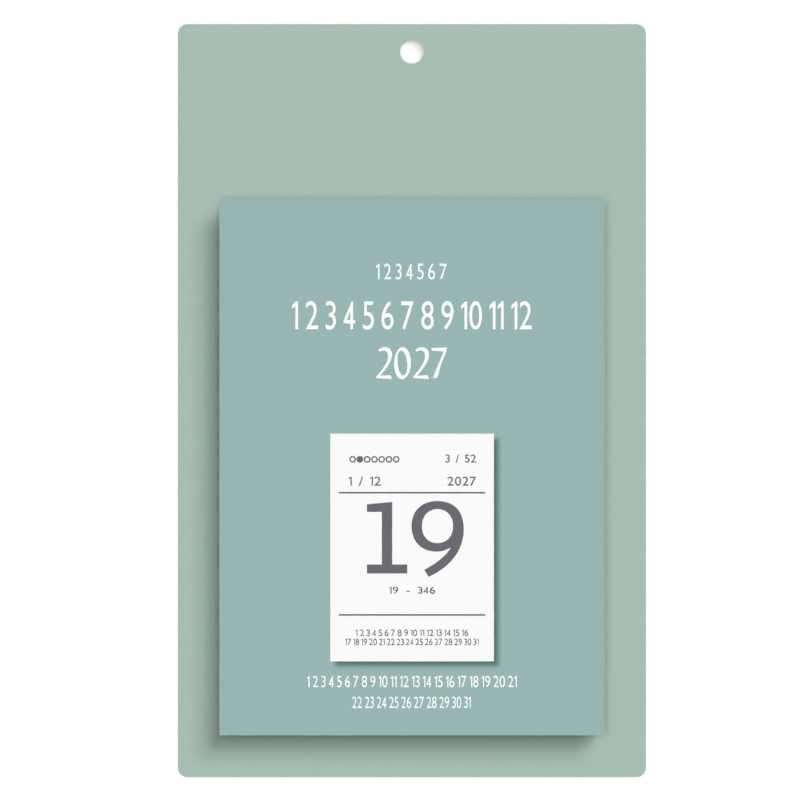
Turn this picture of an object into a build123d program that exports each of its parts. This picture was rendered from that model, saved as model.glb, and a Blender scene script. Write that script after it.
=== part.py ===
"""A wall-hung tear-off day calendar: a pad of day leaves, glued along its top edge, on a punched backing board.

Frame: the origin is the middle of the hang hole on the board's back face, which lies on the wall.
+X is to the right as the calendar is read, +Y goes into the wall and +Z is up.
All lengths are in millimetres.
"""

import os
from datetime import date, timedelta

from build123d import *

# Backing board: greyboard with a printed paper on its front and a lining paper on its back
BOARD_WIDTH = 97.0
BOARD_HEIGHT = 156.0
BOARD_CORNER_RADIUS = 2.0
LINING_THICKNESS = 0.15
GREYBOARD_THICKNESS = 1.2
FACING_THICKNESS = 0.15
FACING_EDGE_RADIUS = 0.1

# Hang hole, punched through all three layers
HOLE_DIAMETER = 5.0
HOLE_DROP = 5.7  # from the board's top edge down to the middle of the hole

# Pad of leaves, centred on the board's width
LEAF_WIDTH = 79.5
LEAF_HEIGHT = 110.5
LEAF_THICKNESS = 0.05
LEAF_AIR = 0.005  # air between two neighbours in the pad
PAD_BOTTOM_MARGIN = 8.9  # from the board's bottom edge up to the pad's
COVER_THICKNESS = 0.25
BACK_CARD_THICKNESS = 0.6

# Padding glue, brushed on the top edges of the leaves
GLUE_FILM_THICKNESS = 0.15

# Two strips of double-sided tape that hold the pad on the board
TAPE_LENGTH = 70.0
TAPE_WIDTH = 12.0
TAPE_THICKNESS = 0.15
TAPE_MARGIN = 8.0  # from the pad's top or bottom edge to the nearer strip

# The year's leaves: one a day, the first ones loose enough to be torn off one by one
FIRST_DAY = date(2027, 1, 1)
LAST_DAY = date(2027, 12, 31)
SINGLE_LEAVES = 7

# Heights, from the hole
board_top = HOLE_DROP
board_bottom = board_top - BOARD_HEIGHT
pad_bottom = board_bottom + PAD_BOTTOM_MARGIN
pad_top = pad_bottom + LEAF_HEIGHT
film_top = pad_top + GLUE_FILM_THICKNESS

# Distances from the wall to the near side of each layer, working outwards
day_count = (LAST_DAY - FIRST_DAY).days + 1
leaf_pitch = LEAF_THICKNESS + LEAF_AIR
greyboard_depth = LINING_THICKNESS
facing_depth = greyboard_depth + GREYBOARD_THICKNESS
tape_depth = facing_depth + FACING_THICKNESS
back_card_depth = tape_depth + TAPE_THICKNESS
last_leaf_depth = back_card_depth + BACK_CARD_THICKNESS + LEAF_AIR
cover_depth = last_leaf_depth + day_count * leaf_pitch


def layer(outline, depth, thickness):
    """A flat outline in X and Z, raised into a sheet whose wall side is at that depth."""
    return extrude(Plane.XZ.offset(depth) * outline, thickness)


def board_outline():
    """The board's front view: a rectangle with rounded corners and the punched hole."""
    middle = (board_top + board_bottom) / 2
    board = Pos(0, middle) * RectangleRounded(BOARD_WIDTH, BOARD_HEIGHT, BOARD_CORNER_RADIUS)
    return board - Circle(HOLE_DIAMETER / 2)


def leaf_outline():
    """The front view of one leaf, which the cover and the back card share."""
    return Pos(0, (pad_top + pad_bottom) / 2) * Rectangle(LEAF_WIDTH, LEAF_HEIGHT)


def board_layers():
    """The board's three layers, with the facing's front edge pressed round by the die that cuts it."""
    outline = board_outline()
    facing = layer(outline, facing_depth, FACING_THICKNESS)
    front_face = facing.faces().sort_by(Axis.Y)[0]
    facing = fillet(front_face.outer_wire().edges(), FACING_EDGE_RADIUS)
    return {
        "board_lining": layer(outline, 0, LINING_THICKNESS),
        "board_core": layer(outline, greyboard_depth, GREYBOARD_THICKNESS),
        "board_facing": facing,
    }


def tape_strips():
    """The two strips of tape between the board and the pad, one near each end of the pad."""
    reach = TAPE_MARGIN + TAPE_WIDTH / 2
    strip = Rectangle(TAPE_LENGTH, TAPE_WIDTH)
    heights = {"upper_tape": pad_top - reach, "lower_tape": pad_bottom + reach}
    return {name: layer(Pos(0, z) * strip, tape_depth, TAPE_THICKNESS) for name, z in heights.items()}


def glue_film(depth, thickness):
    """A length of padding glue on top of the sheets that lie between two depths."""
    middle = (pad_top + film_top) / 2
    return layer(Pos(0, middle) * Rectangle(LEAF_WIDTH, GLUE_FILM_THICKNESS), depth, thickness)


def day_leaves():
    """Every day's leaf, in order of date, as pairs of the date and its sheet. The first day lies outermost."""
    leaf = layer(leaf_outline(), last_leaf_depth, LEAF_THICKNESS)
    for number in range(day_count):
        leaves_behind = day_count - 1 - number
        yield FIRST_DAY + timedelta(days=number), Pos(0, -leaves_behind * leaf_pitch, 0) * leaf


def leaf_nodes():
    """The first leaves each by itself, and the other leaves of each month together, as separate sheets."""
    nodes = {}
    for number, (day, leaf) in enumerate(day_leaves(), start=1):
        month = day.strftime("%B").lower()
        name = f"{month}_{day.day:02d}_leaf" if number <= SINGLE_LEAVES else f"{month}_leaves"
        nodes.setdefault(name, []).append(leaf)
    return {name: Compound(children=leaves) for name, leaves in nodes.items()}


def calendar():
    """Every piece of the calendar by name, from the wall outwards."""
    pad_depth = cover_depth - LEAF_AIR - back_card_depth
    return {
        **board_layers(),
        **tape_strips(),
        "pad_back_card": layer(leaf_outline(), back_card_depth, BACK_CARD_THICKNESS),
        **leaf_nodes(),
        "pad_glue_film": glue_film(back_card_depth, pad_depth),
        "cover_leaf": layer(leaf_outline(), cover_depth, COVER_THICKNESS),
        "cover_glue_line": glue_film(cover_depth, COVER_THICKNESS),
    }


os.makedirs("parts", exist_ok=True)
for node, piece in calendar().items():
    export_step(piece, f"parts/{node}.step")

print(f"cover hinge line at y {-cover_depth:.4f}, z {film_top:.4f}")
print(f"board from z {board_bottom:.3f} to {board_top:.3f}, pad from z {pad_bottom:.3f} to {pad_top:.3f}")
print(f"overall depth {cover_depth + COVER_THICKNESS:.4f}, board thickness {tape_depth:.3f}")
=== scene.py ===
"""Dresses the wall-hung tear-off day calendar: its papers, cut edges, padding glue and printed numbers.

Frame: metres, the origin in the middle of the hang hole on the board's back face.
+X is to the right as the calendar is read, +Y goes into the wall and +Z is up.
"""

import logging
import math
import random
from collections.abc import Callable
from dataclasses import dataclass, field
from datetime import date, timedelta
from enum import Enum
from typing import Any

import bpy
from mathutils import Matrix, Vector, noise

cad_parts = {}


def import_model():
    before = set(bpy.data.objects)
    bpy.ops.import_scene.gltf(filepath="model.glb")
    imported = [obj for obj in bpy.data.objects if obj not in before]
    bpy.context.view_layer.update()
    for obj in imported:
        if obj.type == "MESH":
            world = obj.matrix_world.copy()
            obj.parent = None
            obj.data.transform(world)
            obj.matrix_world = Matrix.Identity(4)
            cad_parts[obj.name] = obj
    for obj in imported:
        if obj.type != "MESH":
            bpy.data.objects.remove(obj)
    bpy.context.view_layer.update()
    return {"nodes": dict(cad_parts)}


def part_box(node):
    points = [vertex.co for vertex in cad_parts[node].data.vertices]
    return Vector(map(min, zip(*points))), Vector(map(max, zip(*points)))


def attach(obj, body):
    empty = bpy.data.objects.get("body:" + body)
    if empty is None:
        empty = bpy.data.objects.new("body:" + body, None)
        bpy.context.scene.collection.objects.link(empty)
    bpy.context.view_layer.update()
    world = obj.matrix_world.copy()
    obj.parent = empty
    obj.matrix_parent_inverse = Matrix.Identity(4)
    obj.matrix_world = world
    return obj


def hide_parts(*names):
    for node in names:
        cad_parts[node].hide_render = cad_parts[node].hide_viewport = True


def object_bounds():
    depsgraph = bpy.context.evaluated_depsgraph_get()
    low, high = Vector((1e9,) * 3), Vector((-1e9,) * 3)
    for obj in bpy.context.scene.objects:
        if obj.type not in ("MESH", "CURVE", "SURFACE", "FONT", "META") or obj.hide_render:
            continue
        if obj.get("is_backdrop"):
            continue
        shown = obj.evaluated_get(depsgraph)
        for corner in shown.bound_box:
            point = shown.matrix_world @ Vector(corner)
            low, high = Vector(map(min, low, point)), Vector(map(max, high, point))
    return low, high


LOG = logging.getLogger("day_calendar")

MM = 0.001
SEED = 2027

FIRST_DAY = date(2027, 1, 1)
PICTURED_DAY = date(2027, 1, 19)  # the day of the leaf that is pictured on the cover
SINGLE_LEAVES = 7
DAYS_IN_WEEK = 7
DAYS_IN_LONG_MONTH = 31
DAYS_IN_YEAR = 365
WEEKS_IN_YEAR = 52
MONTHS = ("january", "february", "march", "april", "may", "june", "july", "august",
          "september", "october", "november", "december")

BOARD_BODY = "board_and_pad"
COVER_BODY = "cover"

# Sockets of a Mix node that mixes colours
MIX_FACTOR, MIX_A, MIX_B, MIX_RESULT = 0, 6, 7, 2

# Values between which most of a noise pattern lies
NOISE_LOW, NOISE_HIGH = 0.3, 0.7

# A surface faces the reader or the wall where its normal has more than this in Y, and else is an edge
FACE_ON = 0.5


Colour = tuple[float, float, float, float]


def linear(colour: str) -> Colour:
    """Turns an sRGB hex colour into linear values.

    Args:
        colour: a hash sign and six hex digits.

    Returns:
        Red, green, blue and an alpha of 1, in linear light.
    """
    channels = [int(colour[start:start + 2], 16) / 255 for start in (1, 3, 5)]
    red, green, blue = (c / 12.92 if c <= 0.04045 else ((c + 0.055) / 1.055) ** 2.4 for c in channels)
    return (red, green, blue, 1.0)


def add_node(
    tree: bpy.types.NodeTree, kind: str, inputs: dict[str | int, Any] | None = None, **settings: Any
) -> bpy.types.Node:
    """Adds a node with its settings and what its inputs take.

    Args:
        tree: the node tree of a material or of the world.
        kind: the node's type.
        inputs: for each input, by name or number, another node's output to link or a plain value.
        settings: the node's own properties.

    Returns:
        The new node.
    """
    node = tree.nodes.new(kind)
    for name, value in settings.items():
        setattr(node, name, value)
    for name, value in (inputs or {}).items():
        if isinstance(value, bpy.types.NodeSocket):
            tree.links.new(value, node.inputs[name])
        else:
            node.inputs[name].default_value = value
    return node


def new_material(name: str) -> tuple[bpy.types.Material, bpy.types.NodeTree]:
    """Starts a material with an empty node tree.

    Args:
        name: the finish's name.

    Returns:
        The material and its node tree.
    """
    material = bpy.data.materials.new(name)
    material.use_nodes = True
    material.node_tree.nodes.clear()
    return material, material.node_tree


def dress(piece: bpy.types.Object, material: bpy.types.Material) -> None:
    """Gives a piece one material all over, and reports it.

    Args:
        piece: the piece.
        material: its finish.
    """
    piece.data.materials.clear()
    piece.data.materials.append(material)
    LOG.info("%s: %s, %d faces", piece.name, material.name, len(piece.data.polygons))


def only_active(piece: bpy.types.Object) -> None:
    """Selects one object, makes it active and deselects the rest.

    Args:
        piece: the object.
    """
    bpy.ops.object.select_all(action="DESELECT")
    piece.select_set(True)
    bpy.context.view_layer.objects.active = piece


def add_mesh(primitive: Callable[..., set[str]], name: str, **settings: Any) -> bpy.types.Object:
    """Adds a primitive, with everything else deselected.

    Args:
        primitive: the operator that adds it.
        name: its name, and its mesh's.
        settings: its size and place.

    Returns:
        The new piece.
    """
    bpy.ops.object.select_all(action="DESELECT")
    primitive(**settings)
    piece = bpy.context.object
    piece.name = name
    piece.data.name = name
    return piece


def apply_modifiers(piece: bpy.types.Object) -> None:
    """Applies a piece's modifiers in their order.

    Args:
        piece: the piece.
    """
    only_active(piece)
    for name in [modifier.name for modifier in piece.modifiers]:
        bpy.ops.object.modifier_apply(modifier=name)


def join(pieces: list[bpy.types.Object], name: str) -> bpy.types.Object:
    """Joins meshes into one.

    Args:
        pieces: the meshes, the first of which takes in the others.
        name: the joined piece's name.

    Returns:
        The joined piece.
    """
    only_active(pieces[0])
    for piece in pieces[1:]:
        piece.select_set(True)
    if len(pieces) > 1:
        bpy.ops.object.join()
    pieces[0].name = name
    return pieces[0]


def mesh_box(piece: bpy.types.Object) -> tuple[Vector, Vector]:
    """Measures a mesh.

    Args:
        piece: the mesh's object.

    Returns:
        The mesh's lowest and highest corners.
    """
    corners = [vertex.co for vertex in piece.data.vertices]
    low = Vector(min(c[axis] for c in corners) for axis in range(3))
    high = Vector(max(c[axis] for c in corners) for axis in range(3))
    return low, high


class Ink(Enum):
    """The two ways a mark shows: grey ink on white paper, or white left clear in a printed colour."""

    GREY = "#686870"
    WHITE = "#FFFFFF"


@dataclass(frozen=True)
class SheetStock:
    """Paper or board that is cut from a larger sheet, and printed on its front or left bare.

    The eye gets a matt, even tone with the faint cloudiness of fibres, and fine plies along the edges,
    which on a pad's edge are partly painted shade between the leaves.
    """

    name: str
    front: str  # colour of the side that faces the reader
    stock: str  # colour of the back and the cut edges
    fibre_mm: float = 0.6  # drawn coarser than real fibres, which are too fine to show
    octaves: float = 3.0  # how many times over the cloudiness is repeated at half its size
    mottle: float = 0.012  # share by which fibres vary the tone
    roughness: float = 0.82
    gloss_spread: float = 0.06  # how far fibres vary the roughness to each side
    relief_mm: float = 0.006
    relief_strength: float = 0.5
    ply_mm: float = 0.3  # drawn coarser than one leaf, which is too thin to show
    ply_run_mm: float = 40.0  # how far a ply keeps its tone along an edge
    ply_octaves: float = 4.0
    ply_grit: float = 0.7  # strength of the finer plies
    ply_range: tuple[float, float] = (0.35, 0.65)  # values between which most of the plies' pattern lies
    ply_shade: float = 0.12  # share by which the darkest ply is darker: the stock's own tone, and on the pad's edges also painted shade between the leaves
    specular: float = 0.12

    def front_tone(
        self, tree: bpy.types.NodeTree, place: bpy.types.Node
    ) -> Colour | bpy.types.NodeSocket:
        """The colour of the front: one tone here, or a node's output where it is printed in more."""
        return linear(self.front)

    def material(self) -> bpy.types.Material:
        """Builds the material.

        Returns:
            A material that tells the front, the back and the edges apart by the way that they face.
        """
        material, tree = new_material(self.name)
        place = add_node(tree, "ShaderNodeTexCoord")
        fibre = add_node(tree, "ShaderNodeTexNoise", {
            "Vector": place.outputs["Object"], "Scale": 1 / (self.fibre_mm * MM),
            "Detail": self.octaves})
        along = 1 / (self.ply_run_mm * MM)
        along_edge = add_node(tree, "ShaderNodeMapping", {
            "Vector": place.outputs["Object"], "Scale": (along, 1 / (self.ply_mm * MM), along)})
        plies = add_node(tree, "ShaderNodeTexNoise", {
            "Vector": along_edge.outputs[0], "Scale": 1.0,
            "Detail": self.ply_octaves, "Roughness": self.ply_grit})

        facing = add_node(tree, "ShaderNodeSeparateXYZ", {0: place.outputs["Normal"]})
        is_front = add_node(
            tree, "ShaderNodeMath", {0: facing.outputs["Y"], 1: -FACE_ON}, operation="LESS_THAN")
        slant = add_node(tree, "ShaderNodeMath", {0: facing.outputs["Y"]}, operation="ABSOLUTE")
        is_edge = add_node(
            tree, "ShaderNodeMath", {0: slant.outputs[0], 1: FACE_ON}, operation="LESS_THAN")

        tone = add_node(tree, "ShaderNodeMix", {
            MIX_FACTOR: is_front.outputs[0], MIX_A: linear(self.stock),
            MIX_B: self.front_tone(tree, place),
        }, data_type="RGBA")
        clouded = cloud_tone(tree, tone.outputs[MIX_RESULT], fibre.outputs[0], self.mottle)
        dark, light = self.ply_range
        # darker plies along the edges: the stock's own tone, and on a pad's edges also painted shade
        # between the leaves
        shade = add_node(tree, "ShaderNodeMapRange", {
            "Value": plies.outputs[0], "From Min": dark, "From Max": light,
            "To Min": 1 - self.ply_shade, "To Max": 1.0})
        colour = add_node(tree, "ShaderNodeMix", {
            MIX_FACTOR: is_edge.outputs[0], MIX_A: clouded, MIX_B: shade.outputs[0],
        }, data_type="RGBA", blend_type="MULTIPLY")

        end_matt(self, tree, colour.outputs[MIX_RESULT], fibre.outputs[0])
        return material


@dataclass(frozen=True)
class CoverStock(SheetStock):
    """Cover paper printed in one colour, with the soft printed shade beside the pictured leaf."""

    shade_tone: str = "#567273"
    shade_shift_mm: float = 0.98  # how far the shade stands to the right of the picture, and below it
    shade_blur_mm: float = 0.88  # how far its edge fades to each side
    picture: tuple[float, float, float, float] = (0, 0, 0, 0)  # left, right, bottom and top, in metres

    def front_tone(self, tree: bpy.types.NodeTree, place: bpy.types.Node) -> bpy.types.NodeSocket:
        """The cover's colour, darkened where the printed shade lies.

        Args:
            tree: the material's node tree.
            place: the node that gives a point's coordinates.

        Returns:
            The output that holds the printed colour.
        """
        left, right, bottom, top = self.picture
        shift = self.shade_shift_mm * MM
        blur = self.shade_blur_mm * MM
        at = add_node(tree, "ShaderNodeSeparateXYZ", {0: place.outputs["Object"]})
        fades = ((at.outputs["X"], left + shift, 1), (at.outputs["X"], right + shift, -1),
                 (at.outputs["Z"], bottom - shift, 1), (at.outputs["Z"], top - shift, -1))
        depth = 1.0
        for where, edge, way in fades:
            fade = add_node(tree, "ShaderNodeMapRange", {
                "Value": where, "From Min": edge - way * blur, "From Max": edge + way * blur,
            }, interpolation_type="SMOOTHSTEP")
            shared = add_node(
                tree, "ShaderNodeMath", {0: fade.outputs[0], 1: depth}, operation="MULTIPLY")
            depth = shared.outputs[0]
        tone = add_node(tree, "ShaderNodeMix", {
            MIX_FACTOR: depth, MIX_A: linear(self.front), MIX_B: linear(self.shade_tone),
        }, data_type="RGBA")
        return tone.outputs[MIX_RESULT]


@dataclass(frozen=True)
class PaddingGlue:
    """Water-based padding glue, brushed along the leaves' top edges and dried to a skin.

    The eye gets a milky, dull film, the run of the brush, and the leaves' edges faintly through it.
    """

    name: str
    tone: str = "#F1EFE7"
    seen_edges: str = "#E4E1D8"
    edge_mm: float = 0.25  # drawn coarser than one leaf, which is too thin to show
    edge_range: tuple[float, float] = (0.4, 0.65)  # values between which an edge comes to show
    brush_mm: float = 0.8
    run_mm: float = 30.0  # how far a streak keeps its tone along the pad
    octaves: float = 4.0
    roughness: float = 0.75
    gloss_spread: float = 0.1  # how far the brush's streaks vary the roughness to each side
    relief_mm: float = 0.03
    relief_strength: float = 0.4
    specular: float = 0.0  # dull also where it is seen along its face

    def material(self) -> bpy.types.Material:
        """Builds the material.

        Returns:
            A material whose streaks all run along the pad's top edge.
        """
        material, tree = new_material(self.name)
        place = add_node(tree, "ShaderNodeTexCoord")
        streaks = []
        for width_mm in (self.edge_mm, self.brush_mm):
            across = 1 / (width_mm * MM)
            stretched = add_node(tree, "ShaderNodeMapping", {
                "Vector": place.outputs["Object"], "Scale": (1 / (self.run_mm * MM), across, across)})
            streaks.append(add_node(tree, "ShaderNodeTexNoise", {
                "Vector": stretched.outputs[0], "Scale": 1.0, "Detail": self.octaves}))
        edges, brush = streaks
        hidden, shown = self.edge_range
        seen = add_node(tree, "ShaderNodeMapRange", {
            "Value": edges.outputs[0], "From Min": hidden, "From Max": shown})
        colour = add_node(tree, "ShaderNodeMix", {
            MIX_FACTOR: seen.outputs[0], MIX_A: linear(self.tone), MIX_B: linear(self.seen_edges),
        }, data_type="RGBA")
        end_matt(self, tree, colour.outputs[MIX_RESULT], brush.outputs[0])
        return material


def cloud_tone(
    tree: bpy.types.NodeTree, tone: Colour | bpy.types.NodeSocket,
    fibre: bpy.types.NodeSocket, share: float,
) -> bpy.types.NodeSocket:
    """Clouds a tone as fibres do.

    Args:
        tree: the material's node tree.
        tone: the even tone.
        fibre: the output that holds the fibres' pattern.
        share: how far they vary the tone to each side.

    Returns:
        The output that holds the clouded tone.
    """
    cloud = add_node(tree, "ShaderNodeMapRange", {
        "Value": fibre, "From Min": NOISE_LOW, "From Max": NOISE_HIGH,
        "To Min": 1 - share, "To Max": 1 + share})
    clouded = add_node(tree, "ShaderNodeMix", {
        MIX_FACTOR: 1.0, MIX_A: tone, MIX_B: cloud.outputs[0],
    }, data_type="RGBA", blend_type="MULTIPLY")
    return clouded.outputs[MIX_RESULT]


def end_matt(
    finish: SheetStock | PaddingGlue, tree: bpy.types.NodeTree,
    colour: bpy.types.NodeSocket, grain: bpy.types.NodeSocket,
) -> None:
    """Ends a material with a matt surface, whose gloss and relief follow its grain.

    Args:
        finish: how rough the surface is and how high its grain stands.
        tree: the material's node tree.
        colour: the output that holds the colour.
        grain: the output that holds the grain.
    """
    gloss = add_node(tree, "ShaderNodeMapRange", {
        "Value": grain, "From Min": NOISE_LOW, "From Max": NOISE_HIGH,
        "To Min": finish.roughness - finish.gloss_spread,
        "To Max": finish.roughness + finish.gloss_spread})
    relief = add_node(tree, "ShaderNodeBump", {
        "Height": grain, "Strength": finish.relief_strength, "Distance": finish.relief_mm * MM})
    surface = add_node(tree, "ShaderNodeBsdfPrincipled", {
        "Base Color": colour, "Roughness": gloss.outputs[0],
        "Normal": relief.outputs[0], "Specular IOR Level": finish.specular})
    add_node(tree, "ShaderNodeOutputMaterial", {"Surface": surface.outputs[0]})


@dataclass(frozen=True)
class PrintFilm:
    """Offset ink, or paper left clear of it: a thin film, a little uneven where fibres took it up."""

    name: str
    tone: str
    unevenness: float = 0.03
    fibre_mm: float = 0.5  # drawn coarser than real fibres, which are too fine to show
    octaves: float = 3.0
    roughness: float = 0.75
    specular: float = 0.12

    def material(self) -> bpy.types.Material:
        """Builds the material.

        Returns:
            A matt material of one tone, with the fibres' unevenness.
        """
        material, tree = new_material(self.name)
        place = add_node(tree, "ShaderNodeTexCoord")
        fibre = add_node(tree, "ShaderNodeTexNoise", {
            "Vector": place.outputs["Object"], "Scale": 1 / (self.fibre_mm * MM),
            "Detail": self.octaves})
        uneven = cloud_tone(tree, linear(self.tone), fibre.outputs[0], self.unevenness)
        surface = add_node(tree, "ShaderNodeBsdfPrincipled", {
            "Base Color": uneven, "Roughness": self.roughness, "Specular IOR Level": self.specular})
        add_node(tree, "ShaderNodeOutputMaterial", {"Surface": surface.outputs[0]})
        return material


@dataclass(frozen=True)
class Turn:
    """A point of a numeral's outline, in shares of the numeral's height.

    A reach draws the line out from the point before it curves to the next one.
    Without one the line is straight.
    """

    x: float
    y: float
    before: tuple[float, float] | None = None
    after: tuple[float, float] | None = None


@dataclass
class Numerals:
    """Plain numerals as flat meshes in X and Y, one unit tall on a base line at Y = 0."""

    smoothness: int  # steps in each curve of a small numeral
    boldness: float = 0.0  # how far the plain type's outline is moved outwards, as a share of its size
    models: dict[str, bpy.types.Mesh] = field(default_factory=dict)
    plain_height: float = field(init=False)  # how tall the plain type is

    LARGE_GAP = 0.059
    LARGE_SMOOTHNESS = 12  # steps in each curve
    GAP = 0.11
    SPACE = 0.28

    # A large one with a flag and a foot
    ONE_WIDTH = 0.565
    ONE_STEM = (0.209, 0.354)
    ONE_FOOT = 0.125
    ONE_FLAG = (0.861, 0.967)

    # A small one with a slanted flag, and a small four
    SMALL_ONE = (Turn(0.17, 0), Turn(0.31, 0), Turn(0.31, 1), Turn(0.2, 1), Turn(0, 0.85), Turn(0, 0.71),
                 Turn(0.17, 0.83))
    FOUR_OUTSIDE = (Turn(0.35, 0), Turn(0.49, 0), Turn(0.49, 0.21), Turn(0.6, 0.21), Turn(0.6, 0.33),
                    Turn(0.49, 0.33), Turn(0.49, 1), Turn(0.41, 1), Turn(0, 0.3), Turn(0, 0.21),
                    Turn(0.35, 0.21))
    FOUR_INSIDE = (Turn(0.35, 0.33), Turn(0.17, 0.33), Turn(0.35, 0.66))

    # Small figures that are drawn here. The others are set in Blender's own type.
    OWN = {"1": (SMALL_ONE,), "4": (FOUR_OUTSIDE, FOUR_INSIDE)}

    # A nine that is a ring with a tail
    NINE_OUTSIDE = (
        Turn(0.364, 1.013, before=(-0.216, 0), after=(0.261, 0)),
        Turn(0.731, 0.619, before=(0, 0.221), after=(0, -0.364)),
        Turn(0.239, -0.048, before=(0.218, 0.1)),
        Turn(0.179, 0.051, after=(0.125, 0.069)),
        Turn(0.55, 0.363, before=(-0.081, -0.143), after=(-0.07, -0.035)),
        Turn(0.348, 0.306, before=(0.09, 0), after=(-0.21, 0)),
        Turn(0, 0.664, before=(0, -0.22), after=(0, 0.218)))
    NINE_INSIDE = (
        Turn(0.363, 0.9, before=(0.13, 0), after=(-0.13, 0)),
        Turn(0.146, 0.662, before=(0, 0.14), after=(0, -0.14)),
        Turn(0.363, 0.424, before=(-0.13, 0), after=(0.13, 0)),
        Turn(0.581, 0.662, before=(0, -0.14), after=(0, 0.14)))

    def __post_init__(self) -> None:
        """Measures the plain type by its one, which is a bare stem."""
        stem = self.plain("1", self.smoothness, 0.0)
        low, high = mesh_box(stem)
        self.plain_height = high.y - low.y
        bpy.data.objects.remove(stem)

    def outline(self, contours: tuple[tuple[Turn, ...], ...]) -> bpy.types.Object:
        """Fills an outline.

        Args:
            contours: the outer line, then the line round each hole.

        Returns:
            A flat mesh.
        """
        curve = bpy.data.curves.new("numeral", "CURVE")
        curve.dimensions = "2D"
        curve.fill_mode = "BOTH"
        curve.resolution_u = self.LARGE_SMOOTHNESS
        for contour in contours:
            spline = curve.splines.new("BEZIER")
            spline.bezier_points.add(len(contour) - 1)
            spline.use_cyclic_u = True
            for point, turn in zip(spline.bezier_points, contour):
                point.co = (turn.x, turn.y, 0)
                for side, reach in (("left", turn.before), ("right", turn.after)):
                    setattr(point, f"handle_{side}_type", "FREE" if reach else "VECTOR")
                    if reach:
                        setattr(point, f"handle_{side}", point.co + Vector((*reach, 0)))
        flat = bpy.data.objects.new("numeral", curve)
        bpy.context.collection.objects.link(flat)
        return self.as_mesh(flat)

    def as_mesh(self, flat: bpy.types.Object) -> bpy.types.Object:
        """Makes a flat curve or text a mesh that faces up.

        Args:
            flat: the curve or the text.

        Returns:
            The same object as a mesh.
        """
        only_active(flat)
        bpy.ops.object.convert(target="MESH")
        flat = bpy.context.object
        if sum(face.normal.z * face.area for face in flat.data.polygons) < 0:
            flat.data.flip_normals()
        return flat

    def plain(self, sign: str, smoothness: int, boldness: float) -> bpy.types.Object:
        """Sets one sign in Blender's own plain type.

        Args:
            sign: a numeral, a stroke or a hyphen.
            smoothness: steps in each of its curves.
            boldness: how far its outline is moved outwards.

        Returns:
            A flat mesh.
        """
        bpy.ops.object.select_all(action="DESELECT")
        bpy.ops.object.text_add()
        flat = bpy.context.object
        flat.data.body = sign
        flat.data.resolution_u = smoothness
        flat.data.offset = boldness
        return self.as_mesh(flat)

    def small(self, sign: str) -> bpy.types.Object:
        """A small figure, which is modelled once and then copied.

        Args:
            sign: a numeral, a stroke or a hyphen.

        Returns:
            A flat mesh with a mesh of its own.
        """
        if sign not in self.models:
            if sign in self.OWN:
                model = self.outline(self.OWN[sign])
            else:
                model = self.plain(sign, self.smoothness, self.boldness)
                model.data.transform(Matrix.Scale(1 / self.plain_height, 4))
            self.models[sign] = model.data
            bpy.data.objects.remove(model)
        flat = bpy.data.objects.new("figure", self.models[sign].copy())
        bpy.context.collection.objects.link(flat)
        return flat

    def row(self, text: str) -> bpy.types.Object:
        """Sets a row of small numerals.

        Args:
            text: the numerals, with spaces between.

        Returns:
            A flat mesh.
        """
        figures = []
        end = 0.0
        for sign in text:
            if sign == " ":
                end += self.SPACE
                continue
            flat = self.small(sign)
            end = self.set_next(flat, end, self.GAP)
            figures.append(flat)
        return join(figures, "number_row")

    def set_next(self, flat: bpy.types.Object, start: float, gap: float) -> float:
        """Sets a figure at the end of its row.

        Args:
            flat: the figure.
            start: where its left edge goes.
            gap: what stays clear to the right of it.

        Returns:
            Where the next figure starts.
        """
        low, high = mesh_box(flat)
        flat.data.transform(Matrix.Translation((start - low.x, 0, 0)))
        return start + (high.x - low.x + gap)

    def one(self) -> bpy.types.Object:
        """Draws the large one.

        Returns:
            A flat mesh.
        """
        width, foot = self.ONE_WIDTH, self.ONE_FOOT
        left, right = self.ONE_STEM
        low, high = self.ONE_FLAG
        corners = ((0, 0), (width, 0), (width, foot), (right, foot), (right, 1),
                   (0, high), (0, low), (left, low), (left, foot), (0, foot))
        return self.outline((tuple(Turn(x, y) for x, y in corners),))

    def large(self, number: int) -> bpy.types.Object:
        """Sets a large day number.

        Args:
            number: the day of the month.

        Returns:
            A flat mesh, one unit tall.
        """
        figures = []
        end = 0.0
        for figure in str(number):
            if figure == "1":
                flat = self.one()
            elif figure == "9":
                flat = self.outline((self.NINE_OUTSIDE, self.NINE_INSIDE))
            else:
                flat = self.plain(figure, self.LARGE_SMOOTHNESS, 0.0)
                low, high = mesh_box(flat)
                flat.data.transform(Matrix.Scale(1 / (high.y - low.y), 4) @ Matrix.Translation(-low))
            end = self.set_next(flat, end, self.LARGE_GAP)
            figures.append(flat)
        return join(figures, "day_number")


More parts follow.
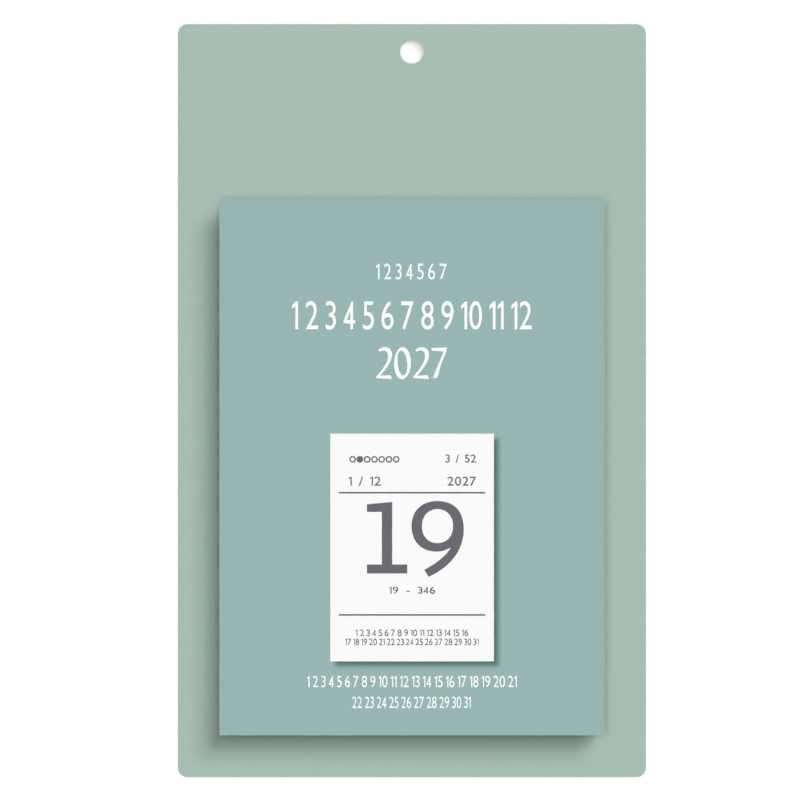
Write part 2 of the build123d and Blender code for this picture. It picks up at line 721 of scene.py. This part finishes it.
class YearNumerals(Numerals):
    """The lighter numerals of the year on the cover, which are a two, a nought and a seven."""

    GAP = 0.065
    TWO = (
        Turn(0.066, 0.898, after=(0.05, 0.055)),
        Turn(0.273, 0.995, before=(-0.07, 0), after=(0.13, 0)),
        Turn(0.492, 0.758, before=(0, 0.14), after=(0, -0.24)),
        Turn(0.125, 0.089, before=(0.15, 0.17)),
        Turn(0.456, 0.1),
        Turn(0.484, -0.018),
        Turn(0, 0.012),
        Turn(0, 0.055, after=(0.2, 0.22)),
        Turn(0.372, 0.719, before=(0, -0.2), after=(0, 0.1)),
        Turn(0.236, 0.888, before=(0.075, 0), after=(-0.04, 0)),
        Turn(0.109, 0.844, before=(0.03, 0.025)))
    NOUGHT_OUTSIDE = (
        Turn(0.261, 0.995, before=(-0.14, 0), after=(0.15, 0)),
        Turn(0.522, 0.5, before=(0, 0.26), after=(0, -0.3)),
        Turn(0.235, -0.025, before=(0.15, 0), after=(-0.13, 0)),
        Turn(0, 0.47, before=(0, -0.28), after=(0, 0.27)))
    NOUGHT_INSIDE = (
        Turn(0.22, 0.885, before=(0.1, 0), after=(-0.08, 0)),
        Turn(0.105, 0.57, before=(0, 0.2), after=(0, -0.24)),
        Turn(0.275, 0.093, before=(-0.08, 0), after=(0.07, 0)),
        Turn(0.41, 0.4, before=(0, -0.2), after=(0, 0.25)))
    SEVEN = (Turn(0, 0.961), Turn(0.489, 0.98), Turn(0.477, 0.86), Turn(0.32, 0.48), Turn(0.195, 0.02),
             Turn(0.05, 0.012), Turn(0.391, 0.85), Turn(0.03, 0.885))
    OWN = {"0": (NOUGHT_OUTSIDE, NOUGHT_INSIDE), "2": (TWO,), "7": (SEVEN,)}


@dataclass(frozen=True)
class Place:
    """Where a mark stands on a sheet, in millimetres from the sheet's left and top edges."""

    left: float
    right: float
    middle: float  # how far down its middle is
    height: float


@dataclass(frozen=True)
class Sheet:
    """The face of a sheet that is printed, in metres, and the scale that a leaf's print has on it."""

    left: float
    top: float
    front: float
    scale: float = 1.0


@dataclass
class PrintRun:
    """All the marks of one ink on one sheet, which end up as one thin film."""

    sheet: Sheet
    rise: float  # how far the film stands out of the sheet, in metres
    numerals: Numerals
    sink: float = 0.002 * MM  # how far the film reaches into the paper
    round_sides: int = 32
    marks: list[bpy.types.Object] = field(default_factory=list)

    def set_mark(self, flat: bpy.types.Object, place: Place) -> None:
        """Fits a flat mark to its place on the sheet.

        Args:
            flat: a mesh in X and Y.
            place: where it goes.
        """
        unit = self.sheet.scale * MM
        low, high = mesh_box(flat)
        width = (place.right - place.left) * unit / (high.x - low.x)
        height = place.height * unit / (high.y - low.y)
        to_place = Vector((
            self.sheet.left + place.left * unit,
            self.sheet.front + self.sink,
            self.sheet.top - (place.middle + place.height / 2) * unit))
        upright = Matrix.Rotation(math.pi / 2, 4, "X")
        fitted = Matrix.Diagonal((width, height, 1, 1)) @ Matrix.Translation(-low)
        flat.data.transform(Matrix.Translation(to_place) @ upright @ fitted)
        self.marks.append(flat)

    def numbers(self, text: str, place: Place) -> None:
        """Prints a row of small numerals."""
        self.set_mark(self.numerals.row(text), place)

    def large_number(self, number: int, place: Place) -> None:
        """Prints a large number at its own width, in the middle of its place.

        Args:
            number: the day of the month.
            place: its height and its middle.
        """
        flat = self.numerals.large(number)
        low, high = mesh_box(flat)
        half = (high.x - low.x) / 2 * place.height
        middle = (place.left + place.right) / 2
        tall = place.height * (high.y - low.y)
        down = place.middle + place.height / 2 - place.height * (high.y + low.y) / 2
        self.set_mark(flat, Place(middle - half, middle + half, down, tall))

    def rule(self, place: Place) -> None:
        """Prints a bar."""
        self.set_mark(add_mesh(bpy.ops.mesh.primitive_plane_add, "bar", size=1), place)

    def dot(self, place: Place) -> None:
        """Prints a round dot."""
        disc = bpy.ops.mesh.primitive_circle_add
        self.set_mark(add_mesh(disc, "dot", vertices=self.round_sides, fill_type="NGON"), place)

    def ring(self, place: Place, line: float) -> None:
        """Prints a ring.

        Args:
            place: where its outer edge goes.
            line: how thick its line is, in millimetres.
        """
        self.dot(place)
        only_active(self.marks[-1])
        bpy.ops.object.mode_set(mode="EDIT")
        bpy.ops.mesh.select_all(action="SELECT")
        bpy.ops.mesh.inset(thickness=line * self.sheet.scale * MM)
        bpy.ops.mesh.delete(type="FACE")
        bpy.ops.object.mode_set(mode="OBJECT")

    def press(self, name: str, body: str, material: bpy.types.Material) -> None:
        """Makes one film of all the marks.

        Args:
            name: the film's name.
            body: the body that it moves with.
            material: the ink.
        """
        film = join(self.marks, name)
        film.data.name = name
        thicken = film.modifiers.new("film", "SOLIDIFY")
        thicken.thickness = self.sink + self.rise
        thicken.offset = 1.0
        apply_modifiers(film)
        dress(film, material)
        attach(film, body)


def number_row(first: int, last: int) -> str:
    """Writes the numbers from first to last, with spaces between."""
    return " ".join(str(number) for number in range(first, last + 1))


@dataclass
class LeafPrint:
    """The print of one day's leaf: its date in plain numbers, between two rules."""

    day: date
    weekday_dots: Place = Place(9.2, 33.7, 12.5, 3.3)
    month: Place = Place(8.9, 24.6, 23.1, 4.5)
    week: Place = Place(55.9, 70.9, 12.1, 4.0)
    year: Place = Place(56.9, 70.9, 23.1, 4.5)
    upper_rule: Place = Place(4.1, 75.3, 28.7, 0.8)
    day_number: Place = Place(17.8, 64.85, 50.57, 34.75)
    day_count: Place = Place(28.55, 50.95, 76.1, 3.5)
    lower_rule: Place = Place(4.1, 75.3, 88.1, 0.8)
    first_days: Place = Place(12.3, 67.1, 96.8, 3.3)
    last_days: Place = Place(7.3, 72.1, 101.2, 3.3)
    first_days_end: int = 16
    ring_line: float = 0.7
    smoothness: int = 4
    boldness: float = 0.007

    def weekdays(self, run: PrintRun) -> None:
        """Prints seven rings, the day's own one filled.

        Args:
            run: the leaf's print.
        """
        spot = self.weekday_dots
        step = (spot.right - spot.left - spot.height) / (DAYS_IN_WEEK - 1)
        for number in range(DAYS_IN_WEEK):
            left = spot.left + number * step
            place = Place(left, left + spot.height, spot.middle, spot.height)
            if number + 1 == self.day.isoweekday():
                run.dot(place)
            else:
                run.ring(place, self.ring_line)

    def set_marks(self, sheet: Sheet, rise: float) -> PrintRun:
        """Sets all the marks of the leaf.

        Args:
            sheet: the face that is printed.
            rise: how far the film stands out of it, in metres.

        Returns:
            The print, ready for the press.
        """
        run = PrintRun(sheet, rise, Numerals(self.smoothness, self.boldness))
        passed = (self.day - FIRST_DAY).days + 1
        week = (passed - 1) // DAYS_IN_WEEK + 1
        self.weekdays(run)
        run.numbers(f"{self.day.month}  /  {len(MONTHS)}", self.month)
        run.numbers(f"{week}  /  {WEEKS_IN_YEAR}", self.week)
        run.numbers(str(self.day.year), self.year)
        run.rule(self.upper_rule)
        run.large_number(self.day.day, self.day_number)
        run.numbers(f"{passed}   -   {DAYS_IN_YEAR - passed}", self.day_count)
        run.rule(self.lower_rule)
        run.numbers(number_row(1, self.first_days_end), self.first_days)
        run.numbers(number_row(self.first_days_end + 1, DAYS_IN_LONG_MONTH), self.last_days)
        return run


@dataclass
class Board:
    """The backing board: greyboard between a printed facing and a lining."""

    facing: SheetStock = SheetStock("sage_printed_facing", "#A8BEB2", "#E9E7DF", ply_shade=0.05)
    lining: SheetStock = SheetStock(
        "lining_paper", "#E4E1D8", "#E4E1D8", fibre_mm=1.8, octaves=5.0, mottle=0.028, roughness=0.88,
        relief_mm=0.02, ply_shade=0.05)
    core: SheetStock = SheetStock(
        "greyboard", "#A09B91", "#A09B91", fibre_mm=0.5, mottle=0.1, roughness=0.92,
        ply_mm=0.18, ply_shade=0.3)
    tape: SheetStock = SheetStock("tissue_tape", "#E6E2D4", "#E6E2D4", roughness=0.5)

    def build(self, nodes: dict[str, bpy.types.Object]) -> None:
        """Gives the board's layers, the tape and the pad's back card their finishes.

        Args:
            nodes: the frame's nodes by name.
        """
        finishes = (
            (self.facing, ("board_facing",)), (self.lining, ("board_lining",)),
            (self.core, ("board_core", "pad_back_card")), (self.tape, ("upper_tape", "lower_tape")))
        for stock, names in finishes:
            material = stock.material()
            for name in names:
                dress(nodes[name], material)


@dataclass
class Pad:
    """The pad of day leaves: cut by one blade, glued at the top and free to shift a hair below."""

    # the darker plies along the leaves' cut edges are partly the paper's own tone and partly painted
    # shade between the leaves
    paper: SheetStock = SheetStock(
        "offset_leaf_paper", "#FAFAFA", "#FAFAFA", mottle=0.006, ply_mm=0.3, ply_shade=0.17)
    glue: PaddingGlue = PaddingGlue("milky_padding_glue")
    edge_glue: PaddingGlue = PaddingGlue(  # so thin on the cover that its colour shows through
        "clear_padding_glue", tone="#A3BBB8", seen_edges="#96B3B1")
    grey_ink: PrintFilm = PrintFilm("grey_offset_ink", Ink.GREY.value)
    film_rise: float = 0.012 * MM  # thicker than ink, which is too thin to render cleanly from far off
    trim: float = 0.1 * MM  # how far a leaf stays inside the cover's outline on each free side
    shift: float = 0.09 * MM  # the most that a leaf's lower end shifts
    restlessness: float = 0.1  # how much of a leaf's shift is its own, not its neighbour's
    drop: float = 0.5  # the most that a leaf's lower end hangs down, as a share of the trim
    shifts: random.Random = field(default_factory=lambda: random.Random(SEED))
    skin_cuts: int = 47  # in each edge of the glue's skin
    skin_reach: float = 0.01 * MM  # how near to the skin's top a point is brushed
    brush_depth: float = 0.04 * MM
    brush_width: float = 1.4 * MM
    brush_run: float = 25 * MM
    brush_falloff: float = 1.0  # how much weaker each finer set of streaks is
    brush_step: float = 2.0  # how much finer it is
    brush_octaves: int = 3
    smooth_angle: float = math.radians(40)

    def build(self, nodes: dict[str, bpy.types.Object]) -> None:
        """Builds the leaves, their print and the glue.

        Args:
            nodes: the frame's nodes by name.
        """
        paper = self.paper.material()
        ink = self.grey_ink.material()
        for number in range(1, SINGLE_LEAVES + 1):
            leaf = f"january_{number:02d}_leaf"
            dress(nodes[leaf], paper)
            self.print_leaf(number, leaf, leaf, ink)
        self.print_leaf(SINGLE_LEAVES + 1, "january_leaves", BOARD_BODY, ink)
        lean = 0.0
        for month in MONTHS:
            lean = self.stack(month, lean, paper)
        self.film(self.glue.material())
        dress(nodes["cover_glue_line"], self.edge_glue.material())

    def print_leaf(self, number: int, node: str, body: str, ink: bpy.types.Material) -> None:
        """Prints the leaf of a day in January.

        Args:
            number: the day.
            node: the node whose front the leaf is.
            body: the body that it moves with.
            ink: the ink.
        """
        low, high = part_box(node)
        day = FIRST_DAY + timedelta(days=number - 1)
        run = LeafPrint(day).set_marks(Sheet(low.x, high.z, low.y), self.film_rise)
        run.press(f"january_{number:02d}_print", body, ink)

    def stack(self, month: str, lean: float, paper: bpy.types.Material) -> float:
        """Builds a month's leaves as separate sheets, none of them in quite the same place as the next.

        Args:
            month: the month's name.
            lean: how far the leaf in front leans, as a share of the most.
            paper: the paper.

        Returns:
            How far the last leaf leans.
        """
        node = f"{month}_leaves"
        low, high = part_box(node)
        first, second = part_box("january_01_leaf"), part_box("january_02_leaf")
        thickness = first[1].y - first[0].y
        pitch = second[0].y - first[0].y
        count = round((high.y - low.y - thickness) / pitch) + 1
        size = Vector((high.x - low.x - 2 * self.trim, thickness, high.z - low.z - self.trim))

        sheets = add_mesh(bpy.ops.mesh.primitive_cube_add, f"{month}_sheets", size=1)
        middle = Vector(((low.x + high.x) / 2, low.y + thickness / 2, high.z - size.z / 2))
        sheets.data.transform(Matrix.Translation(middle) @ Matrix.Diagonal((*size, 1)))
        corners = len(sheets.data.vertices)
        repeat = sheets.modifiers.new("sheets", "ARRAY")
        repeat.use_relative_offset = False
        repeat.use_constant_offset = True
        repeat.constant_offset_displace = (0, pitch, 0)
        repeat.count = count
        apply_modifiers(sheets)

        for number in range(count):
            lean += self.restlessness * (self.shifts.uniform(-1, 1) - lean)
            drop = self.shifts.uniform(0, self.drop)
            for vertex in sheets.data.vertices[number * corners:(number + 1) * corners]:
                if vertex.co.z < middle.z:
                    vertex.co.x += lean * self.shift
                    vertex.co.z -= drop * self.trim
        dress(sheets, paper)
        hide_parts(node)
        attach(sheets, BOARD_BODY)
        return lean

    def film(self, glue: bpy.types.Material) -> None:
        """Builds the brushed skin of glue on the pad's top edge.

        Args:
            glue: the glue.
        """
        low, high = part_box("pad_glue_film")
        size = high - low
        skin = add_mesh(bpy.ops.mesh.primitive_cube_add, "brushed_glue_film", size=1)
        skin.data.transform(Matrix.Translation((low + high) / 2) @ Matrix.Diagonal((*size, 1)))
        bpy.ops.object.mode_set(mode="EDIT")
        bpy.ops.mesh.select_all(action="SELECT")
        bpy.ops.mesh.subdivide(number_cuts=self.skin_cuts)
        bpy.ops.object.mode_set(mode="OBJECT")
        for vertex in skin.data.vertices:
            if vertex.co.z > high.z - self.skin_reach:
                at = Vector((vertex.co.x / self.brush_run, vertex.co.y / self.brush_width, 0))
                streak = noise.fractal(at, self.brush_falloff, self.brush_step, self.brush_octaves)
                vertex.co.z -= self.brush_depth * min(max(0.5 + streak / 2, 0), 1)
        bpy.ops.object.shade_smooth_by_angle(angle=self.smooth_angle)
        dress(skin, glue)
        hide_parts("pad_glue_film")
        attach(skin, BOARD_BODY)


@dataclass
class Cover:
    """The pad's cover: a printed colour with numbers left clear in it, and the picture of a leaf."""

    picture: Place = Place(22.89, 56.66, 71.73, 47.01)
    weekday_row: Place = Place(32.35, 46.95, 14.75, 3.3)
    month_row: Place = Place(15.0, 64.5, 23.8, 5.9)
    year_row: Place = Place(32.35, 46.95, 33.67, 6.65)
    first_days: Place = Place(18.1, 61.4, 99.4, 2.4)
    last_days: Place = Place(27.4, 51.9, 103.7, 2.4)
    first_days_end: int = 21
    smoothness: int = 8

    film_rise: float = 0.01 * MM  # thicker than ink, as on the leaves
    paper_tone: str = "#FAFAFA"
    printed_tone: str = "#98B6B4"
    ply_shade: float = 0.04
    white: PrintFilm = PrintFilm("clear_white", Ink.WHITE.value, unevenness=0.004)
    pictured_paper: PrintFilm = PrintFilm("pictured_paper", "#FCFCFC", unevenness=0.004)
    grey_ink: PrintFilm = PrintFilm("grey_picture_ink", Ink.GREY.value)

    def build(self, nodes: dict[str, bpy.types.Object]) -> None:
        """Dresses the cover and prints it.

        Args:
            nodes: the frame's nodes by name.
        """
        low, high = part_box("cover_leaf")
        left = low.x + self.picture.left * MM
        right = low.x + self.picture.right * MM
        top = high.z - (self.picture.middle - self.picture.height / 2) * MM
        bottom = high.z - (self.picture.middle + self.picture.height / 2) * MM
        stock = CoverStock(
            "teal_printed_cover", self.printed_tone, self.paper_tone, ply_shade=self.ply_shade,
            picture=(left, right, bottom, top))
        dress(nodes["cover_leaf"], stock.material())

        leaf_low, leaf_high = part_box("january_01_leaf")
        scale = (right - left) / (leaf_high.x - leaf_low.x)
        sheet = Sheet(low.x, high.z, low.y)
        self.print_picture(sheet, Sheet(left, top, low.y - self.film_rise, scale))
        self.print_numbers(sheet)

    def print_picture(self, sheet: Sheet, pictured: Sheet) -> None:
        """Prints the picture of a leaf: its paper, and then its own print on that.

        Args:
            sheet: the cover's face.
            pictured: the pictured leaf's face.
        """
        paper = PrintRun(sheet, self.film_rise, Numerals(self.smoothness))
        paper.rule(self.picture)
        paper.press("cover_picture", COVER_BODY, self.pictured_paper.material())
        leaf = LeafPrint(PICTURED_DAY).set_marks(pictured, self.film_rise)
        leaf.press("cover_picture_print", COVER_BODY, self.grey_ink.material())

    def print_numbers(self, sheet: Sheet) -> None:
        """Prints the rows of numbers above the picture and below it.

        Args:
            sheet: the cover's face.
        """
        clear = PrintRun(sheet, self.film_rise, Numerals(self.smoothness))
        clear.numbers(number_row(1, DAYS_IN_WEEK), self.weekday_row)
        clear.numbers(number_row(1, len(MONTHS)), self.month_row)
        clear.set_mark(YearNumerals(self.smoothness).row(str(FIRST_DAY.year)), self.year_row)
        clear.numbers(number_row(1, self.first_days_end), self.first_days)
        clear.numbers(number_row(self.first_days_end + 1, DAYS_IN_LONG_MONTH), self.last_days)
        clear.press("cover_numbers", COVER_BODY, self.white.material())


def place_lamp(light: bpy.types.Light, place: Vector, aim: Vector) -> None:
    """Places a lamp, whose light ends on what it meets first.

    Args:
        light: what it gives.
        place: where it stands.
        aim: what it points at.
    """
    light.cycles.max_bounces = 0
    lamp = bpy.data.objects.new(light.name, light)
    bpy.context.collection.objects.link(lamp)
    lamp.location = place
    lamp.rotation_euler = (aim - place).to_track_quat("-Z", "Y").to_euler()
    lamp.visible_camera = False


@dataclass(frozen=True)
class FarLamp:
    """A round lamp in front, so far off that its light is even over the board."""

    name: str
    right: float  # how far to the right it stands, per metre towards the reader
    up: float  # how far up, per metre towards the reader
    radius: float  # per metre towards the reader
    share: float  # of the light at which a colour renders as written

    def hang(self) -> None:
        """Hangs the lamp."""
        slant = Vector((self.right, -1, self.up))
        light = bpy.data.lights.new(self.name, "SUN")
        light.energy = math.pi * self.share * slant.length
        light.angle = 2 * math.atan(self.radius)
        place_lamp(light, slant, Vector((0, 0, 0)))


@dataclass(frozen=True)
class FillLamp:
    """A flat lamp beside or behind the calendar, for an edge or the back, which grazes the front."""

    name: str
    place: tuple[float, float, float]  # from the calendar's middle
    width: float
    height: float
    power: float

    def hang(self, middle: Vector) -> None:
        """Hangs the lamp.

        Args:
            middle: the calendar's middle.
        """
        light = bpy.data.lights.new(self.name, "AREA")
        light.shape = "RECTANGLE"
        light.size = self.width
        light.size_y = self.height
        light.energy = self.power
        place_lamp(light, middle + Vector(self.place), middle)


@dataclass
class Studio:
    """A white studio: soft lamps in front, small fills for the sides and the back, and a pale floor."""

    view_width: float = 165.68 * MM  # what the picture takes in at the board
    view_shift_x: float = -2.47 * MM  # from the board's middle to the picture's
    view_shift_z: float = 0.12 * MM
    camera_distance: float = 6.5
    sensor: float = 36.0

    keys: tuple[FarLamp, ...] = (
        FarLamp("front_key", right=-0.0136, up=0.0063, radius=0.0857, share=0.48),
        FarLamp("high_key", right=0.1076, up=0.1375, radius=0.0634, share=0.263),
        FarLamp("side_key", right=0.2203, up=0.2536, radius=0.0873, share=0.204))
    fills: tuple[FillLamp, ...] = (
        FillLamp("right_fill", (0.9, 0.03, 0.1), width=0.08, height=0.9, power=6.0),
        FillLamp("left_fill", (-0.9, 0.03, 0.1), width=0.08, height=0.9, power=4.6),
        FillLamp("top_fill", (0.0, 0.02, 1.0), width=0.9, height=0.06, power=6.0),
        FillLamp("low_fill", (0.0, 0.02, -1.0), width=0.9, height=0.06, power=4.0),
        FillLamp("back_fill", (-0.7, 1.4, 0.5), width=1.0, height=1.0, power=26.0))
    ambient: float = 0.03
    white: str = "#FFFFFF"  # of the background, the floor's rim and the card behind the hole

    floor_drop: float = 140 * MM  # clear of a leaf that is torn off downwards
    floor_radius: float = 0.7
    floor_sides: int = 96
    floor_middle: float = 0.35  # share of the radius at which the floor begins to fade
    floor_white: float = 0.45  # share of plain white in the floor's middle, which keeps the shadow pale
    floor_tone: str = "#F2F2F0"

    card_gap: float = 2.8 * MM  # from the board's back
    card_radius: float = 2.52 * MM  # a hair more than the hole's, so that it hardly shows outside it
    card_sides: int = 48
    card_white: float = 0.25  # share of plain white, which keeps the shade in the hole pale

    def build(self) -> None:
        """Builds the light, the floor and the camera."""
        low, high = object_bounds()
        self.world()
        self.pass_pad_body()
        for key in self.keys:
            key.hang()
        for fill in self.fills:
            fill.hang((low + high) / 2)
        self.floor()
        self.hole_card()
        self.camera()

    def world(self) -> None:
        """Makes a background that is white for the camera and in reflections, and lights faintly."""
        world = bpy.data.worlds.new("white_studio")
        bpy.context.scene.world = world
        world.use_nodes = True
        tree = world.node_tree
        tree.nodes.clear()
        ray = add_node(tree, "ShaderNodeLightPath")
        seen = add_node(tree, "ShaderNodeMath", {
            0: ray.outputs["Is Camera Ray"], 1: ray.outputs["Is Glossy Ray"]}, operation="MAXIMUM")
        shown = add_node(tree, "ShaderNodeMath", {
            0: seen.outputs[0], 1: ray.outputs["Is Transmission Ray"]}, operation="MAXIMUM")
        strength = add_node(tree, "ShaderNodeMapRange", {
            "Value": shown.outputs[0], "To Min": self.ambient})
        back = add_node(tree, "ShaderNodeBackground", {
            "Color": linear(self.white), "Strength": strength.outputs[0]})
        add_node(tree, "ShaderNodeOutputWorld", {"Surface": back.outputs[0]})

    def pass_pad_body(self) -> None:
        """Lets light pass what lies behind the pad's first month.

        The shade on the board is then the front's alone, which is soft also at the pad's corners.
        """
        sheets = [f"{month}_sheets" for month in MONTHS[1:]]
        for name in (*sheets, "brushed_glue_film", "pad_back_card", "upper_tape", "lower_tape"):
            bpy.data.objects[name].visible_shadow = False

    def floor(self) -> None:
        """Lays a pale round floor below the board, which fades into the white at its rim."""
        low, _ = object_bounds()
        floor = add_mesh(
            bpy.ops.mesh.primitive_circle_add, "pale_floor", vertices=self.floor_sides,
            radius=self.floor_radius, fill_type="NGON", location=(0, 0, low.z - self.floor_drop))
        material, tree = new_material(floor.name)
        place = add_node(tree, "ShaderNodeTexCoord")
        reach = add_node(tree, "ShaderNodeVectorMath", {0: place.outputs["Object"]}, operation="LENGTH")
        rim = add_node(tree, "ShaderNodeMapRange", {
            "Value": reach.outputs["Value"], "From Min": self.floor_radius * self.floor_middle,
            "From Max": self.floor_radius, "To Min": self.floor_white,
        }, interpolation_type="SMOOTHSTEP")
        self.paint_front(tree, self.floor_tone, rim.outputs[0])
        dress(floor, material)
        self.stage(floor)

    def hole_card(self) -> None:
        """Stands a white card behind the hang hole, where a wall would be."""
        card = add_mesh(
            bpy.ops.mesh.primitive_circle_add, "hole_card", vertices=self.card_sides,
            radius=self.card_radius, fill_type="NGON", location=(0, self.card_gap, 0),
            rotation=(math.pi / 2, 0, 0))
        material, tree = new_material(card.name)
        self.paint_front(tree, self.white, self.card_white)
        dress(card, material)
        self.stage(card)

    def paint_front(
        self, tree: bpy.types.NodeTree, tone: str, share: bpy.types.NodeSocket | float
    ) -> None:
        """Ends a material that shows on its front alone and is clear from behind.

        Args:
            tree: the material's node tree.
            tone: the colour of the part that takes light and shadow.
            share: how much of it is plain white instead.
        """
        paint = add_node(tree, "ShaderNodeBsdfDiffuse", {"Color": linear(tone)})
        white = add_node(tree, "ShaderNodeEmission", {"Color": linear(self.white), "Strength": 1.0})
        front = add_node(tree, "ShaderNodeMixShader", {
            0: share, 1: paint.outputs[0], 2: white.outputs[0]})
        side = add_node(tree, "ShaderNodeNewGeometry")
        clear = add_node(tree, "ShaderNodeBsdfTransparent")
        shown = add_node(tree, "ShaderNodeMixShader", {
            0: side.outputs["Backfacing"], 1: front.outputs[0], 2: clear.outputs[0]})
        add_node(tree, "ShaderNodeOutputMaterial", {"Surface": shown.outputs[0]})

    def stage(self, backdrop: bpy.types.Object) -> None:
        """Marks a piece of the studio, which neither lights the calendar nor keeps light from it.

        Args:
            backdrop: the piece.
        """
        backdrop.visible_diffuse = False
        backdrop.visible_glossy = False
        backdrop.visible_shadow = False
        backdrop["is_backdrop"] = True

    def camera(self) -> None:
        """Sets the camera straight in front, so far off that the pad hardly grows towards it."""
        low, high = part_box("board_facing")
        camera = bpy.data.cameras.new("front_camera")
        camera.sensor_width = self.sensor
        camera.lens = self.sensor * self.camera_distance / self.view_width
        stand = bpy.data.objects.new("front_camera", camera)
        bpy.context.collection.objects.link(stand)
        stand.location = (
            (low.x + high.x) / 2 + self.view_shift_x,
            low.y - self.camera_distance,
            (low.z + high.z) / 2 + self.view_shift_z)
        stand.rotation_euler = (math.pi / 2, 0, 0)
        bpy.context.scene.camera = stand


def main() -> None:
    """Loads the frame, dresses the calendar and sets up the studio."""
    logging.basicConfig(level=logging.INFO, format="%(message)s")
    bpy.context.scene.view_settings.view_transform = "Standard"
    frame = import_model()
    Board().build(frame["nodes"])
    Pad().build(frame["nodes"])
    Cover().build(frame["nodes"])
    Studio().build()


if __name__ == "__main__":
    main()
